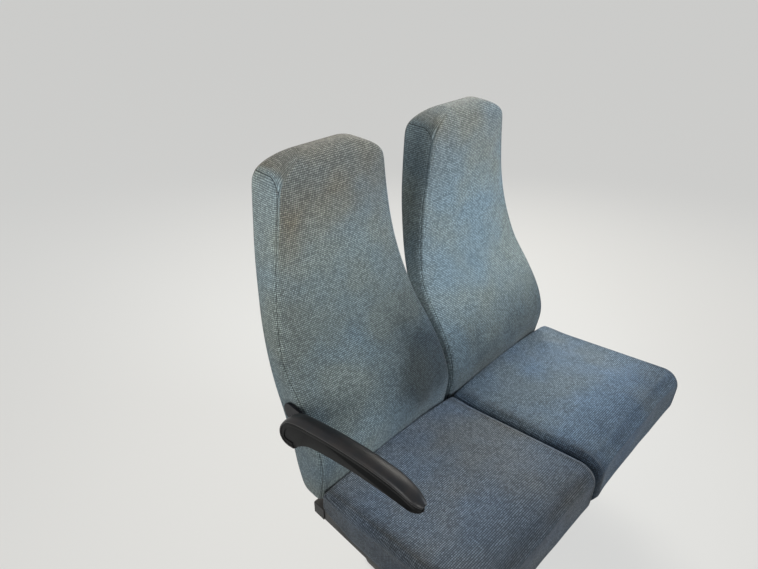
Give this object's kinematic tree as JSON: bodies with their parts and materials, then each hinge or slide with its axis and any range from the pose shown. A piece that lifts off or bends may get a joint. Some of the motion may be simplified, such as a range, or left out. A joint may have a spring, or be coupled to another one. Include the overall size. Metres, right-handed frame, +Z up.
{
  "type": "double passenger seat",
  "caption": "Double passenger seat of a small bus: tall padded backs, waterfall cushions, folding aisle armrest, steel frame on a pressed leg and a wall angle.",
  "frame": {"origin": "middle of the foot plate's two floor bolt holes, on the floor", "axes": "+Z up, +X across the bench to the wall, -Y the way the passengers face"},
  "size_m": [0.9563, 0.7842, 1.11],
  "materials": {
    "frame_paint": "black satin paint",
    "plug_plastic": "black moulded",
    "seat_board": "bare plywood",
    "seat_fabric": "blue-grey two-tone weave",
    "arm_core_plastic": "satin",
    "arm_pad_plastic": "satin integral skin",
    "bright_steel": "zinc plated",
    "belt_webbing": "black webbing"
  },
  "bodies": {
    "bench": {"foot_plate": "frame_paint", "leg_channel": "frame_paint", "leg_head": "frame_paint", "front_rail": "frame_paint", "rear_rail": "frame_paint", "aisle_cross_tube": "frame_paint", "middle_cross_tube": "frame_paint", "window_cross_tube": "frame_paint", "front_rail_plug": "plug_plastic", "rear_rail_plug": "plug_plastic", "head_front_plug": "plug_plastic", "head_rear_plug": "plug_plastic", "wall_angle": "frame_paint", "post_aisle_left": "frame_paint", "post_aisle_right": "frame_paint", "post_window_left": "frame_paint", "post_window_right": "frame_paint", "board_aisle": "seat_board", "board_window": "seat_board", "cushion_aisle": "seat_fabric", "cushion_window": "seat_fabric", "back_aisle": "seat_fabric", "back_window": "seat_fabric", "arm_bracket": "bright_steel", "belt_tab": "bright_steel", "belt_webbing": "belt_webbing"},
    "armrest": {"arm_core": "arm_core_plastic", "arm_pad": "arm_pad_plastic"}
  },
  "joints": [
    {"name": "armrest_hinge", "type": "hinge", "parent": "bench", "child": "armrest", "pos_m": [-0.21, 0.205, 0.61], "axis": [-1, 0, 0], "range_deg": [0, 100]}
  ]
}
